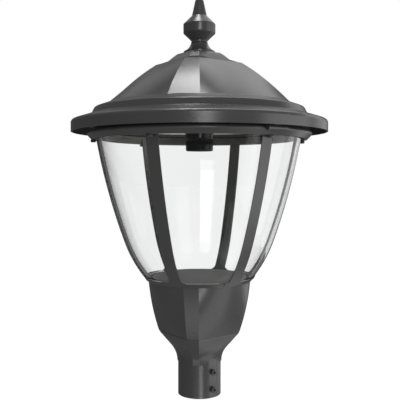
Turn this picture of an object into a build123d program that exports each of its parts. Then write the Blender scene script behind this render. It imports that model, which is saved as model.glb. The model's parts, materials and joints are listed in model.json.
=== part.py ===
from build123d import *
import math
import os

# Post-top garden lantern. Millimetres, +Z up.
# The origin is the centre of the post socket's mouth, at the bottom of the tube.
# The front, with the set screws and the roof hinge, faces -Y.

# Clearances and cuts
seat_gap = 0.3
thread_gap = 0.05
pin_gap = 0.06
screw_hole_gap = 0.3
cut_past = 1.0

# Post socket
tube_radius = 38.0
post_bore_radius = 30.5
post_bore_depth = 75.0
cable_way_radius = 10.0
pad_width = 11.0
pad_depth = 0.4
pad_top = 66.0
set_screw_radius = 3.0
set_screw_head_radius = 5.0
set_screw_head_length = 6.0
set_screw_stand_off = 1.2
set_screw_first_height = 15.0
set_screw_spacing = 30.0
drain_radius = 1.3
drain_height = 63.5

# Four corners, where the narrow facets of base and roof and the bosses in the base stand
corner_count = 4
corner_step = 360 / corner_count
first_corner = corner_step / 2

# Tulip-shaped base, eight sided: four wide faces and four narrow facets
base_narrow_half_angle = 8.0
flare_bottom = 58.0
flare_bottom_radius = 39.3
flare_bottom_bulge = 0.7
flare_turn = 84.5
flare_turn_radius = 52.3
flare_hollow_arc_radius = 46.0
flare_round_arc_radius = 134.0
crease_height = 110.0
crease_radius = 72.1
base_top = 201.0
base_top_radius = 91.0
base_arc_radius = 370.0
base_wall = 5.0
compartment_floor = 117.0
corner_boss_radius = 7.0
corner_boss_length = 30.0
corner_boss_circle = 77.0

# Outline of the bowl and its ribs: two arcs that meet at the elbow
elbow_radius = 132.8
elbow_height = 270.0
elbow_lean = 20.3
lower_arc_radius = 225.0
upper_arc_radius = 1080.0

# Cage: foot ring, six ribs and the rolled ring under the roof
rib_count = 6
rib_width = 21.0
rib_thickness = 2.4
rib_edge_chamfer = 1.0
rib_foot_flare = 8.0
rib_top = 462.0
rib_root_height = 2.0
foot_ring_floor = 4.0
foot_ring_bore = 70.0
foot_gasket_thickness = 2.0
lip_height = 1.0
bead_bottom = 450.8
bead_foot_width = 8.6
bead_foot_chamfer = 3.0
bead_stand_out = 18.3
bead_nose_lift = 10.5
bead_nose_round = 4.0
bead_lip_width = 11.4

# Glass bowl
glass_wall = 4.0
glass_top = 465.0
top_gasket_thickness = 3.0
clamp_ring_thickness = 3.0
clamp_ring_width = 12.0
clamp_stand_out = 5.3
clamp_ear_radius = 5.0
clamp_screw_radius = 2.5
clamp_screw_head_radius = 4.6
clamp_screw_head_length = 4.6

# Gear compartment
cover_radius = 84.5
cover_height = 5.0
cover_sheet = 1.5
cover_round = 2.5
cover_gap = 1.0
gear_length = 60.0
gear_depth = 30.0
gear_height = 62.0
gear_offset = 33.0
gear_round = 2.0
gear_chamfer = 1.0
terminal_length = 44.0
terminal_depth = 20.0
terminal_height = 18.0
terminal_offset = 30.0
terminal_ways = 4
terminal_way_radius = 3.0
gland_hex_radius = 13.0
gland_hex_height = 5.0
gland_cap_radius = 10.4
gland_cap_round = 1.5
gland_height = 9.0
gland_bore_radius = 5.0

# Small and fine screws, and the shares of a head that its round and its hexagon socket take
small_screw_radius = 2.0
small_screw_head_radius = 3.8
small_screw_head_length = 2.4
small_screw_length = 14.0
fine_screw_radius = 1.5
fine_screw_head_radius = 2.8
fine_screw_head_length = 1.6
fine_screw_depth = 4.0
head_round_share = 0.2
head_hex_share = 0.5
head_hex_depth_share = 0.55

# Roof
brim_overhang = 25.5
brim_lift = 9.8
brim_corner_lift = 23.0
brim_corner_round = 6.5
step_foot_inset = 34.5
step_foot_lift = 34.0
step_foot_round = 1.0
step_top_inset = 40.5
step_top_lift = 45.5
step_top_round = 5.0
dome_foot_inset = 63.1
dome_foot_lift = 53.6
dome_foot_lap = 9.0
dome_foot_rise = 3.4
dome_top_radius = 77.5
dome_top_lift = 121.8
dome_arc_radius = 450.0
dome_narrow_half_angle = 9.0
roof_wall = 3.0
roof_drop = 4.0
roof_seat_inset = 3.0
roof_seat_width = 6.0
roof_gasket_thickness = 3.0

# Hinge at the front and captive latch screw at the back
pin_height = 461.0
pin_stand_out = 2.0
pin_radius = 2.2
pin_head_radius = 3.5
pin_head_length = 1.6
pin_head_round = 0.7
knuckle_radius = 4.5
hinge_width = 39.0
leaf_knuckle_width = 12.4
hinge_plate = 2.0
hinge_screw_spacing = 26.0
leaf_plate = 4.0
leaf_lift = 25.0
leaf_flange_width = 30.0
leaf_flange_depth = 12.0
leaf_flange_round = 2.0
leaf_block_margin = 2.0
leaf_screw_spacing = 20.0
latch_stand_out = 0.5
latch_screw_radius = 3.0
latch_head_radius = 4.2
latch_head_length = 8.5
latch_shank_length = 15.0
latch_edge_chamfer = 0.7
latch_lug_width = 18.0
latch_lug_thickness = 6.0
latch_lug_bottom = 456.0
latch_boss_radius = 7.0
latch_boss_gap = 0.55

# Reflector and lamp holder
reflector_rim_inset = 2.0
reflector_flat_inset = 17.0
reflector_depth = 15.0
reflector_sheet = 1.2
reflector_rim_lift = 2.0
reflector_boss_inset = 15.0
reflector_boss_radius = 5.0
holder_mouth = 431.7
holder_mouth_radius = 24.2
holder_top = 505.0
holder_top_radius = 26.0
holder_edge_round = 1.5
holder_hole_gap = 1.5
socket_radius = 14.2
socket_depth = 42.0
shell_radius = 13.9
shell_wall = 0.6
shell_length = 30.0
contact_radius = 4.0
contact_height = 4.0
contact_round = 1.5
strap_width = 30.0
strap_thickness = 3.0
strap_round = 6.0
strap_post_spacing = 110.0
strap_post_radius = 6.0
holder_screw_spacing = 28.0

# Crown and finial
crown_foot_radius = 75.0
crown_shelf_radius = 56.0
crown_shelf_rise = 6.5
crown_side_radius = 44.0
crown_side_rise = 16.0
crown_top_radius = 38.5
crown_rise = 19.5
collar_foot_radius = 28.0
collar_foot_height = 4.0
collar_waist_radius = 17.4
collar_waist_height = 13.0
collar_neck_radius = 14.4
collar_height = 23.0
finial_belly_radius = 28.7
finial_belly_low = 13.8
finial_belly_high = 29.7
finial_belly_round = 2.0
finial_shoulder_radius = 13.4
finial_shoulder_height = 45.0
finial_shoulder_round = 1.0
finial_tip_radius = 7.2
finial_tip_round = 1.8
finial_height = 73.5
stud_radius = 5.0
stud_reach = 17.5
stud_overhang = 2.0
stud_end_chamfer = 0.8
nut_across_flats = 17.0
nut_height = 8.0
washer_radius = 12.0
washer_thickness = 2.0

os.makedirs("parts", exist_ok=True)

# Plane whose X runs outwards to the front and whose Y runs up
front_plane = Plane(origin=(0, 0, 0), x_dir=(0, -1, 0), z_dir=(-1, 0, 0))


def save(builder, name):
    builder.part.label = name
    export_step(builder.part, "parts/" + name + ".step")


def polar_point(radius, angle):
    turn = math.radians(angle)
    return (radius * math.cos(turn), radius * math.sin(turn))


def arc_radius_at(height, low, high, arc_radius):
    """Radius at a height on an arc from (radius, height) low to high, hollow if its radius is negative."""
    side = math.copysign(1, arc_radius)
    run = high[0] - low[0]
    rise = high[1] - low[1]
    chord = math.hypot(run, rise)
    reach = math.sqrt(arc_radius**2 - (chord / 2) ** 2)
    centre_radius = (low[0] + high[0]) / 2 - side * reach * rise / chord
    centre_height = (low[1] + high[1]) / 2 + side * reach * run / chord
    return centre_radius + side * math.sqrt(arc_radius**2 - (height - centre_height) ** 2)


def flank_turn(inset):
    return elbow_height + inset * math.sin(math.radians(elbow_lean))


def flank_radius(height, inset=0.0):
    """Radius of the bowl's outline at a height, moved inwards square to itself by inset."""
    lean = math.radians(elbow_lean)
    arc = lower_arc_radius if height < flank_turn(inset) else upper_arc_radius
    centre_radius = elbow_radius - arc * math.cos(lean)
    centre_height = elbow_height + arc * math.sin(lean)
    return centre_radius + math.sqrt((arc - inset) ** 2 - (centre_height - height) ** 2)


def flank_points(low, high, inset):
    """Three points on one arc of the outline."""
    heights = (low, (low + high) / 2, high)
    return [(flank_radius(height, inset), height) for height in heights]


def facet_section(height, corner_radius, bulge, narrow_half):
    """Four narrow flat sides and four wide ones, which are flat at bulge 0 and on the circle at bulge 1."""
    flat = math.cos(math.radians(corner_step / 2 - narrow_half))
    reach = corner_radius * (flat + (1 - flat) * bulge)
    with BuildSketch(Plane.XY.offset(height)) as section:
        with BuildLine():
            for index in range(corner_count):
                corner = first_corner + index * corner_step
                start = polar_point(corner_radius, corner - narrow_half)
                end = polar_point(corner_radius, corner + narrow_half)
                middle = polar_point(reach, corner + corner_step / 2)
                next_start = polar_point(corner_radius, corner + corner_step - narrow_half)
                Line(start, end)
                if bulge:
                    ThreePointArc(end, middle, next_start)
                else:
                    Line(end, next_start)
        make_face()
    return section.sketch


def screw(face, length, radius, head_radius, head_length):
    """Cap screw with its head on a face. The shank runs up, or down if its length is negative."""
    side = math.copysign(1, length)
    with BuildPart() as made:
        with BuildSketch(Plane.XY.offset(face)):
            Circle(head_radius)
        extrude(amount=-side * head_length)
        outer_edge = made.edges().sort_by(Axis.Z)[0 if side > 0 else -1]
        fillet(outer_edge, head_length * head_round_share)
        with BuildSketch(Plane.XY.offset(face)):
            Circle(radius)
        extrude(amount=length)
        with BuildSketch(Plane.XY.offset(face - side * head_length)):
            RegularPolygon(head_radius * head_hex_share, 6)
        extrude(amount=side * head_length * head_hex_depth_share, mode=Mode.SUBTRACT)
    return made.part


def small_screw(face, length):
    return screw(face, length, small_screw_radius, small_screw_head_radius, small_screw_head_length)


def fine_screw(face, length):
    return screw(face, length, fine_screw_radius, fine_screw_head_radius, fine_screw_head_length)


# Radii, from the glass outwards and back in to the reflector
glass_inset = rib_thickness + seat_gap
glass_top_radius = flank_radius(glass_top, glass_inset)
band_inner_radius = glass_top_radius + 2 * seat_gap
bead_foot_radius = band_inner_radius + bead_foot_width
bead_radius = band_inner_radius + bead_stand_out
clamp_circle = band_inner_radius + clamp_stand_out
pin_circle = bead_radius + pin_stand_out
latch_circle = bead_radius + latch_stand_out
brim_radius = bead_radius + brim_overhang
dome_foot_radius = brim_radius - dome_foot_inset
roof_seat_radius = clamp_circle - roof_seat_inset
reflector_rim_radius = roof_seat_radius - roof_seat_width - reflector_rim_inset
reflector_flat_radius = reflector_rim_radius - reflector_flat_inset
reflector_boss_circle = reflector_flat_radius - reflector_boss_inset

# Levels, from the base upwards
gasket_seat = base_top + foot_ring_floor
glass_foot = gasket_seat + foot_gasket_thickness
bead_nose = bead_bottom + bead_nose_lift
clamp_bottom = glass_top + top_gasket_thickness
clamp_top = clamp_bottom + clamp_ring_thickness
roof_seat = clamp_top + roof_gasket_thickness
brim_bottom = roof_seat - brim_lift
dome_foot = brim_bottom + dome_foot_lift
dome_top = brim_bottom + dome_top_lift
reflector_rim = clamp_top + reflector_rim_lift
reflector_flat = reflector_rim + reflector_depth
strap_top = holder_top + strap_thickness
crown_top = dome_top + crown_rise
collar_top = crown_top + collar_height
finial_top = collar_top + finial_height


def base_sections(inset):
    """Sections of the tulip from the crease, where its wide faces are flat, to its round top."""
    low = (crease_radius, crease_height)
    high = (base_top_radius, base_top)
    sections = []
    for share in (0, 0.25, 0.5, 0.75, 1):
        height = crease_height + share * (base_top - crease_height)
        radius = arc_radius_at(height, low, high, base_arc_radius) - inset
        sections.append(facet_section(height, radius, share, base_narrow_half_angle))
    return sections


def flare_sections():
    """Sections from the ends of the narrow facets on the tube up to the crease."""
    low = (flare_bottom_radius, flare_bottom)
    turn = (flare_turn_radius, flare_turn)
    high = (crease_radius, crease_height)
    sections = []
    for share in (0, 0.17, 0.34, 0.51, 0.75, 1):
        height = flare_bottom + share * (crease_height - flare_bottom)
        if height < flare_turn:
            radius = arc_radius_at(height, low, turn, -flare_hollow_arc_radius)
        else:
            radius = arc_radius_at(height, turn, high, flare_round_arc_radius)
        bulge = flare_bottom_bulge * (1 - share)
        sections.append(facet_section(height, radius, bulge, base_narrow_half_angle))
    return sections


# Base housing: post socket, flare and the hollow gear compartment
with BuildPart() as compartment:
    loft(base_sections(base_wall))
    with BuildSketch(Plane.XY.offset(crease_height - cut_past)):
        Circle(base_top_radius)
    extrude(amount=compartment_floor - crease_height + cut_past, mode=Mode.SUBTRACT)
    with BuildSketch(Plane.XY.offset(base_top - corner_boss_length)):
        with PolarLocations(corner_boss_circle, corner_count, first_corner):
            Circle(corner_boss_radius)
    extrude(amount=corner_boss_length + cut_past, mode=Mode.SUBTRACT)

with BuildPart() as base_housing:
    with BuildSketch():
        Circle(tube_radius)
    extrude(amount=post_bore_depth + cable_way_radius)
    loft(flare_sections())
    loft(base_sections(0))
    add(compartment.part, mode=Mode.SUBTRACT)
    with BuildSketch():
        Circle(post_bore_radius)
    extrude(amount=post_bore_depth, mode=Mode.SUBTRACT)
    with BuildSketch():
        Circle(cable_way_radius)
    extrude(amount=compartment_floor + cut_past, mode=Mode.SUBTRACT)
    with BuildSketch(Plane.XZ.offset(tube_radius - pad_depth)):
        with Locations((0, pad_top / 2)):
            Rectangle(pad_width, pad_top)
    extrude(amount=pad_depth + cut_past, mode=Mode.SUBTRACT)
    with BuildSketch(Plane.XZ):
        with Locations((0, set_screw_first_height), (0, set_screw_first_height + set_screw_spacing)):
            Circle(set_screw_radius + thread_gap)
    extrude(amount=tube_radius + cut_past, mode=Mode.SUBTRACT)
    with BuildSketch(Plane.YZ):
        with Locations((0, drain_height)):
            Circle(drain_radius)
    extrude(amount=-tube_radius - cut_past, mode=Mode.SUBTRACT)
    with BuildSketch(Plane.XY.offset(base_top - small_screw_length)):
        with PolarLocations(corner_boss_circle, corner_count, first_corner):
            Circle(small_screw_radius + thread_gap)
    extrude(amount=small_screw_length, mode=Mode.SUBTRACT)
save(base_housing, "base_housing")

# Two socket-head set screws that clamp the post
set_screw_face = tube_radius - pad_depth + set_screw_stand_off
with BuildPart() as post_screws:
    for height in (set_screw_first_height, set_screw_first_height + set_screw_spacing):
        with Locations(Plane(origin=(0, 0, height), x_dir=(1, 0, 0), z_dir=(0, 1, 0))):
            add(
                screw(
                    -set_screw_face,
                    set_screw_face - post_bore_radius - seat_gap,
                    set_screw_radius,
                    set_screw_head_radius,
                    set_screw_head_length,
                )
            )
save(post_screws, "post_screws")

# Cable gland that seals the way up from the post
with BuildPart() as cable_gland:
    with BuildSketch(Plane.XY.offset(compartment_floor)):
        RegularPolygon(gland_hex_radius, 6)
    extrude(amount=gland_hex_height)
    with BuildSketch(Plane.XY.offset(compartment_floor)):
        Circle(gland_cap_radius)
    extrude(amount=gland_height)
    with BuildSketch(Plane.XY.offset(compartment_floor)):
        Circle(cable_way_radius - thread_gap)
    extrude(amount=-gland_height)
    fillet(cable_gland.edges().filter_by(GeomType.CIRCLE).sort_by(Axis.Z)[-1], gland_cap_round)
    with BuildSketch(Plane.XY.offset(compartment_floor - gland_height)):
        Circle(gland_bore_radius)
    extrude(amount=2 * gland_height, mode=Mode.SUBTRACT)
save(cable_gland, "cable_gland")

# Control gear block on the compartment floor
with BuildPart() as control_gear:
    with BuildSketch(Plane.XY.offset(compartment_floor)):
        with Locations((0, gear_offset)):
            RectangleRounded(gear_length, gear_depth, gear_round)
    extrude(amount=gear_height)
    chamfer(control_gear.faces().sort_by(Axis.Z)[-1].edges(), gear_chamfer)
save(control_gear, "control_gear")

# Terminal block with its rows of wire entries
with BuildPart() as terminal_block:
    with BuildSketch(Plane.XY.offset(compartment_floor)):
        with Locations((0, -terminal_offset)):
            Rectangle(terminal_length, terminal_depth)
    extrude(amount=terminal_height)
    with BuildSketch(Plane.XY.offset(compartment_floor + terminal_height)):
        with Locations((0, -terminal_offset)):
            with GridLocations(terminal_length / terminal_ways, terminal_depth / 2, terminal_ways, 2):
                Circle(terminal_way_radius)
    extrude(amount=-terminal_height / 2, mode=Mode.SUBTRACT)
save(terminal_block, "terminal_block")

# Cage: foot ring, ribs and rolled ring in one casting
rib_bottom = base_top + rib_root_height
lip_top = glass_foot + lip_height
flare_top = lip_top + rib_foot_flare
with BuildPart() as rib:
    rib_turn = flank_turn(rib_thickness / 2)
    with BuildLine(front_plane) as rib_path:
        ThreePointArc(*flank_points(rib_bottom, rib_turn, rib_thickness / 2))
        ThreePointArc(*flank_points(rib_turn, rib_top, rib_thickness / 2))
    with BuildSketch(Plane(rib_path.line @ 0, x_dir=(1, 0, 0), z_dir=rib_path.line % 0)):
        side = rib_width / 2
        face = rib_thickness / 2
        Polygon(
            (-side, -face),
            (side, -face),
            (side, face - rib_edge_chamfer),
            (side - rib_edge_chamfer, face),
            (rib_edge_chamfer - side, face),
            (-side, face - rib_edge_chamfer),
            align=None,
        )
    sweep()

# Foot of a rib, which spreads to the lip of the foot ring in two hollow curves
with BuildPart() as rib_foot:
    foot_half = (rib_width - rib_edge_chamfer) / 2
    flare_half = foot_half + rib_foot_flare
    skin = rib_thickness / 10
    with BuildSketch(front_plane):
        with BuildLine():
            outer_edge = ThreePointArc(*flank_points(rib_bottom, flare_top, skin))
            inner_edge = ThreePointArc(*flank_points(rib_bottom, flare_top, rib_thickness - skin))
            Line(outer_edge @ 0, inner_edge @ 0)
            Line(outer_edge @ 1, inner_edge @ 1)
        make_face()
    extrude(amount=flare_half, both=True)
    with BuildSketch(Plane.XZ):
        with BuildLine():
            right = RadiusArc((flare_half, lip_top), (foot_half, flare_top), rib_foot_flare)
            left = RadiusArc((-foot_half, flare_top), (-flare_half, lip_top), rib_foot_flare)
            Line(right @ 1, left @ 0)
            Polyline(left @ 1, (-flare_half, base_top), (flare_half, base_top), right @ 0)
        make_face()
    extrude(amount=base_top_radius + rib_width, mode=Mode.INTERSECT)

hinge_seat_inner = clamp_circle + clamp_ear_radius
hinge_seat_outer = pin_circle - knuckle_radius - 2 * seat_gap
hinge_screw_circle = (hinge_seat_inner + hinge_seat_outer) / 2
plate_top = pin_height + knuckle_radius
plate_bottom = plate_top - hinge_plate
latch_lug_top = latch_lug_bottom + latch_lug_thickness
latch_seat_inner = latch_circle - latch_boss_radius - 2 * seat_gap
with BuildPart() as cage:
    with BuildSketch(Plane.XZ):
        with BuildLine():
            lip = ThreePointArc(*flank_points(base_top, lip_top, 0))
            seat = ThreePointArc(*flank_points(gasket_seat, lip_top, rib_thickness))
            Line(lip @ 1, seat @ 1)
            Polyline(seat @ 0, (foot_ring_bore, gasket_seat), (foot_ring_bore, base_top), lip @ 0)
        make_face()
    revolve(axis=Axis.Z)
    with BuildSketch(Plane.XZ):
        with BuildLine():
            nose = FilletPolyline(
                (bead_foot_radius, bead_bottom),
                (bead_radius, bead_nose),
                (band_inner_radius + bead_lip_width, clamp_bottom),
                radius=bead_nose_round,
            )
            Polyline(
                nose @ 1,
                (band_inner_radius, clamp_bottom),
                (band_inner_radius, bead_bottom + bead_foot_chamfer),
                (band_inner_radius + bead_foot_chamfer, bead_bottom),
                nose @ 0,
            )
        make_face()
    revolve(axis=Axis.Z)
    with PolarLocations(0, rib_count):
        add(rib.part)
        add(rib_foot.part)
    # Seat of the hinge bracket, and the nose cut back behind its knuckles
    with BuildSketch(Plane.XY.offset(plate_bottom)):
        with Locations((0, -hinge_seat_inner + 2 * seat_gap)):
            Rectangle(hinge_width + 2 * seat_gap, bead_stand_out, align=(Align.CENTER, Align.MAX))
    extrude(amount=bead_stand_out, mode=Mode.SUBTRACT)
    with BuildSketch(Plane.XY.offset(bead_bottom)):
        with Locations((0, -hinge_seat_outer)):
            Rectangle(hinge_width + 2 * seat_gap, bead_stand_out, align=(Align.CENTER, Align.MAX))
    extrude(amount=bead_stand_out, mode=Mode.SUBTRACT)
    # Lug for the latch screw, and the recess above it for the boss on the roof
    with BuildSketch(Plane.XY.offset(latch_lug_bottom)):
        with Locations((0, latch_circle)):
            Circle(latch_lug_width / 2)
            Rectangle(latch_lug_width, latch_circle - bead_foot_radius, align=(Align.CENTER, Align.MAX))
    extrude(amount=latch_lug_thickness)
    with BuildSketch(Plane.XY.offset(latch_lug_top)):
        with Locations((0, latch_seat_inner)):
            Rectangle(latch_lug_width, bead_stand_out, align=(Align.CENTER, Align.MIN))
    extrude(amount=bead_stand_out, mode=Mode.SUBTRACT)
    # Screw holes
    with BuildSketch(Plane.XY.offset(bead_bottom - cut_past)):
        with PolarLocations(clamp_circle, rib_count, -90):
            Circle(clamp_screw_radius + screw_hole_gap)
    extrude(amount=clamp_bottom - bead_bottom + 2 * cut_past, mode=Mode.SUBTRACT)
    with BuildSketch(Plane.XY.offset(latch_lug_bottom - cut_past)):
        with Locations((0, latch_circle)):
            Circle(latch_screw_radius + thread_gap)
    extrude(amount=latch_lug_thickness + 2 * cut_past, mode=Mode.SUBTRACT)
    with BuildSketch(Plane.XY.offset(base_top)):
        with PolarLocations(corner_boss_circle, corner_count, first_corner):
            Circle(small_screw_radius + screw_hole_gap)
    extrude(amount=foot_ring_floor, mode=Mode.SUBTRACT)
    with BuildSketch(Plane.XY.offset(plate_bottom)):
        with Locations((0, -hinge_screw_circle)):
            with GridLocations(hinge_screw_spacing, 0, 2, 1):
                Circle(fine_screw_radius + thread_gap)
    extrude(amount=-fine_screw_depth - seat_gap, mode=Mode.SUBTRACT)
save(cage, "cage")

# Four screws that hold the cage down on the base
with BuildPart() as cage_screws:
    with PolarLocations(corner_boss_circle, corner_count, first_corner):
        add(small_screw(gasket_seat, cut_past - small_screw_length))
save(cage_screws, "cage_screws")

# Shallow cover over the gear compartment, standing on the foot ring
with BuildPart() as gear_cover:
    with BuildSketch(Plane.XY.offset(gasket_seat)):
        Circle(cover_radius)
    extrude(amount=cover_height)
    fillet(gear_cover.edges().sort_by(Axis.Z)[-1], cover_round)
    with BuildSketch(Plane.XY.offset(gasket_seat)):
        Circle(cover_radius - cover_sheet)
    extrude(amount=cover_height - cover_sheet, mode=Mode.SUBTRACT)
save(gear_cover, "gear_cover")

# Flat seal under the glass
with BuildPart() as foot_gasket:
    with BuildSketch(Plane.XY.offset(gasket_seat)):
        Circle(flank_radius(gasket_seat, rib_thickness) - seat_gap)
        Circle(cover_radius + cover_gap, mode=Mode.SUBTRACT)
    extrude(amount=foot_gasket_thickness)
save(foot_gasket, "foot_gasket")

# Clear bowl, open at both ends
with BuildPart() as glass_bowl:
    with BuildSketch(Plane.XZ):
        with BuildLine():
            outer_turn = flank_turn(glass_inset)
            inner_inset = glass_inset + glass_wall
            inner_turn = flank_turn(inner_inset)
            outer_low = ThreePointArc(*flank_points(glass_foot, outer_turn, glass_inset))
            outer_high = ThreePointArc(*flank_points(outer_turn, glass_top, glass_inset))
            inner_high = ThreePointArc(*flank_points(inner_turn, glass_top, inner_inset))
            inner_low = ThreePointArc(*flank_points(glass_foot, inner_turn, inner_inset))
            Line(outer_high @ 1, inner_high @ 1)
            Line(outer_low @ 0, inner_low @ 0)
        make_face()
    revolve(axis=Axis.Z)
save(glass_bowl, "glass_bowl")

# Seal on the top edge of the glass
with BuildPart() as top_gasket:
    with BuildSketch(Plane.XY.offset(glass_top)):
        Circle(glass_top_radius + seat_gap)
        Circle(glass_top_radius - glass_wall - seat_gap, mode=Mode.SUBTRACT)
    extrude(amount=top_gasket_thickness)
save(top_gasket, "top_gasket")

# Ring that clamps the glass, with an ear at each screw
with BuildPart() as clamp_ring:
    with BuildSketch(Plane.XY.offset(clamp_bottom)):
        Circle(clamp_circle - seat_gap)
        with PolarLocations(clamp_circle, rib_count, -90):
            Circle(clamp_ear_radius)
        Circle(clamp_circle - clamp_ring_width, mode=Mode.SUBTRACT)
        with PolarLocations(clamp_circle, rib_count, -90):
            Circle(clamp_screw_radius + thread_gap, mode=Mode.SUBTRACT)
    extrude(amount=clamp_ring_thickness)
save(clamp_ring, "clamp_ring")

# Six screws that come up through the rolled ring into the clamp ring
clamp_screw_length = clamp_top - bead_bottom
with BuildPart() as clamp_screws:
    with PolarLocations(clamp_circle, rib_count, -90):
        add(
            screw(
                bead_bottom,
                clamp_screw_length,
                clamp_screw_radius,
                clamp_screw_head_radius,
                clamp_screw_head_length,
            )
        )
save(clamp_screws, "clamp_screws")

# Hinge bracket: a plate on the rolled ring with two knuckles
with BuildPart() as hinge_bracket:
    with BuildSketch(front_plane):
        with Locations((pin_circle, pin_height)):
            Circle(knuckle_radius)
        with Locations((hinge_seat_inner, plate_bottom)):
            Rectangle(pin_circle - hinge_seat_inner, hinge_plate, align=Align.MIN)
    extrude(amount=hinge_width / 2, both=True)
    with BuildSketch(front_plane):
        with Locations((hinge_seat_outer, pin_height)):
            Rectangle(3 * knuckle_radius, 3 * knuckle_radius, align=(Align.MIN, Align.CENTER))
    extrude(amount=leaf_knuckle_width / 2 + seat_gap, both=True, mode=Mode.SUBTRACT)
    with BuildSketch(front_plane):
        with Locations((pin_circle, pin_height)):
            Circle(pin_radius + thread_gap)
    extrude(amount=hinge_width, both=True, mode=Mode.SUBTRACT)
    with BuildSketch(Plane.XY.offset(plate_top)):
        with Locations((0, -hinge_screw_circle)):
            with GridLocations(hinge_screw_spacing, 0, 2, 1):
                Circle(fine_screw_radius + thread_gap)
    extrude(amount=-hinge_plate, mode=Mode.SUBTRACT)
save(hinge_bracket, "hinge_bracket")

# Screws that hold the hinge bracket
with BuildPart() as hinge_screws:
    with Locations((0, -hinge_screw_circle)):
        with GridLocations(hinge_screw_spacing, 0, 2, 1):
            add(fine_screw(plate_top, -hinge_plate - fine_screw_depth))
save(hinge_screws, "hinge_screws")

# Hinge pin with a formed head at one end
with BuildPart() as hinge_pin:
    with BuildSketch(Plane.YZ.offset(-hinge_width / 2 - cut_past)):
        with Locations((-pin_circle, pin_height)):
            Circle(pin_radius)
    extrude(amount=hinge_width + 2 * cut_past)
    with BuildSketch(Plane.YZ.offset(hinge_width / 2 + seat_gap)):
        with Locations((-pin_circle, pin_height)):
            Circle(pin_head_radius)
    extrude(amount=pin_head_length)
    fillet(hinge_pin.edges().sort_by(Axis.X)[-1], pin_head_round)
save(hinge_pin, "hinge_pin")


def dome_sections(drop):
    """Sections of the dome, whose wide faces are round at the foot and flat at the top."""
    low = (dome_foot_radius, dome_foot)
    high = (dome_top_radius, dome_top)
    sections = []
    for share in (-0.04, 0.25, 0.5, 0.75, 1):
        height = dome_foot + share * (dome_top - dome_foot)
        radius = arc_radius_at(height, low, high, dome_arc_radius)
        bulge = min(1, 1 - share)
        sections.append(facet_section(height - drop, radius, bulge, dome_narrow_half_angle))
    return sections


def roof_solid(inset, drop, rounds):
    """Solid of the outline, moved in by inset and down by drop, with the rounds of its corners."""
    brim_side = brim_radius - inset
    outline = (
        (brim_side, brim_bottom),
        (brim_side, brim_bottom + brim_corner_lift - drop),
        (brim_side - step_foot_inset, brim_bottom + step_foot_lift - drop),
        (brim_side - step_top_inset, brim_bottom + step_top_lift - drop),
        (dome_foot_radius - dome_foot_lap, dome_foot + dome_foot_rise - drop),
    )
    with BuildPart() as solid:
        with BuildSketch(Plane.XZ):
            with BuildLine():
                edge = FilletPolyline(*outline, radius=rounds) if rounds else Polyline(*outline)
                Polyline(edge @ 1, (0, (edge @ 1).Y), (0, brim_bottom), edge @ 0)
            make_face()
        revolve(axis=Axis.Z)
        loft(dome_sections(drop))
    return solid.part


# Inside of the roof, less the bosses and the seat that stand in it
leaf_block_bottom = pin_height + leaf_lift
latch_boss_bottom = latch_lug_top + seat_gap
reflector_back = reflector_flat + reflector_sheet
past_roof = finial_top - brim_bottom
with BuildPart() as roof_hollow:
    add(roof_solid(roof_wall, roof_drop, None))
    with BuildSketch(Plane.XY.offset(roof_seat)):
        Circle(roof_seat_radius)
        Circle(roof_seat_radius - roof_seat_width, mode=Mode.SUBTRACT)
    extrude(amount=past_roof, mode=Mode.SUBTRACT)
    with BuildSketch(Plane.XY.offset(reflector_back)):
        with PolarLocations(reflector_boss_circle, corner_count, first_corner):
            Circle(reflector_boss_radius)
    extrude(amount=past_roof, mode=Mode.SUBTRACT)
    with BuildSketch(Plane.XY.offset(strap_top)):
        with GridLocations(strap_post_spacing, 0, 2, 1):
            Circle(strap_post_radius)
    extrude(amount=past_roof, mode=Mode.SUBTRACT)
    with BuildSketch(Plane.XY.offset(latch_boss_bottom)):
        with Locations((0, latch_circle)):
            Circle(latch_boss_radius)
    extrude(amount=past_roof, mode=Mode.SUBTRACT)
    with BuildSketch(Plane.XY.offset(leaf_block_bottom)):
        with Locations((0, -pin_circle)):
            Rectangle(leaf_flange_width + leaf_block_margin, leaf_flange_depth)
    extrude(amount=past_roof, mode=Mode.SUBTRACT)

# Roof casting: brim, step and faceted dome
with BuildPart() as roof:
    add(roof_solid(0, 0, (brim_corner_round, step_foot_round, step_top_round)))
    add(roof_hollow.part, mode=Mode.SUBTRACT)
    with BuildSketch(Plane.XY.offset(dome_top - 2 * roof_drop)):
        Circle(stud_radius + screw_hole_gap)
    extrude(amount=4 * roof_drop, mode=Mode.SUBTRACT)
    with BuildSketch(Plane.XY.offset(latch_boss_bottom)):
        with Locations((0, latch_circle)):
            Circle(latch_screw_radius + latch_boss_gap)
    extrude(amount=latch_shank_length, mode=Mode.SUBTRACT)
    with BuildSketch(Plane.XY.offset(reflector_back)):
        with PolarLocations(reflector_boss_circle, corner_count, first_corner):
            Circle(small_screw_radius + thread_gap)
    extrude(amount=small_screw_length, mode=Mode.SUBTRACT)
    with BuildSketch(Plane.XY.offset(strap_top)):
        with GridLocations(strap_post_spacing, 0, 2, 1):
            Circle(small_screw_radius + thread_gap)
    extrude(amount=small_screw_length, mode=Mode.SUBTRACT)
    with BuildSketch(Plane.XY.offset(leaf_block_bottom)):
        with Locations((0, -pin_circle)):
            with GridLocations(leaf_screw_spacing, 0, 2, 1):
                Circle(fine_screw_radius + thread_gap)
    extrude(amount=fine_screw_depth + seat_gap, mode=Mode.SUBTRACT)
save(roof, "roof")

# Seal between the roof and the clamp ring
with BuildPart() as roof_gasket:
    with BuildSketch(Plane.XY.offset(clamp_top)):
        Circle(roof_seat_radius - seat_gap)
        Circle(roof_seat_radius - roof_seat_width + seat_gap, mode=Mode.SUBTRACT)
    extrude(amount=roof_gasket_thickness)
save(roof_gasket, "roof_gasket")

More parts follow.
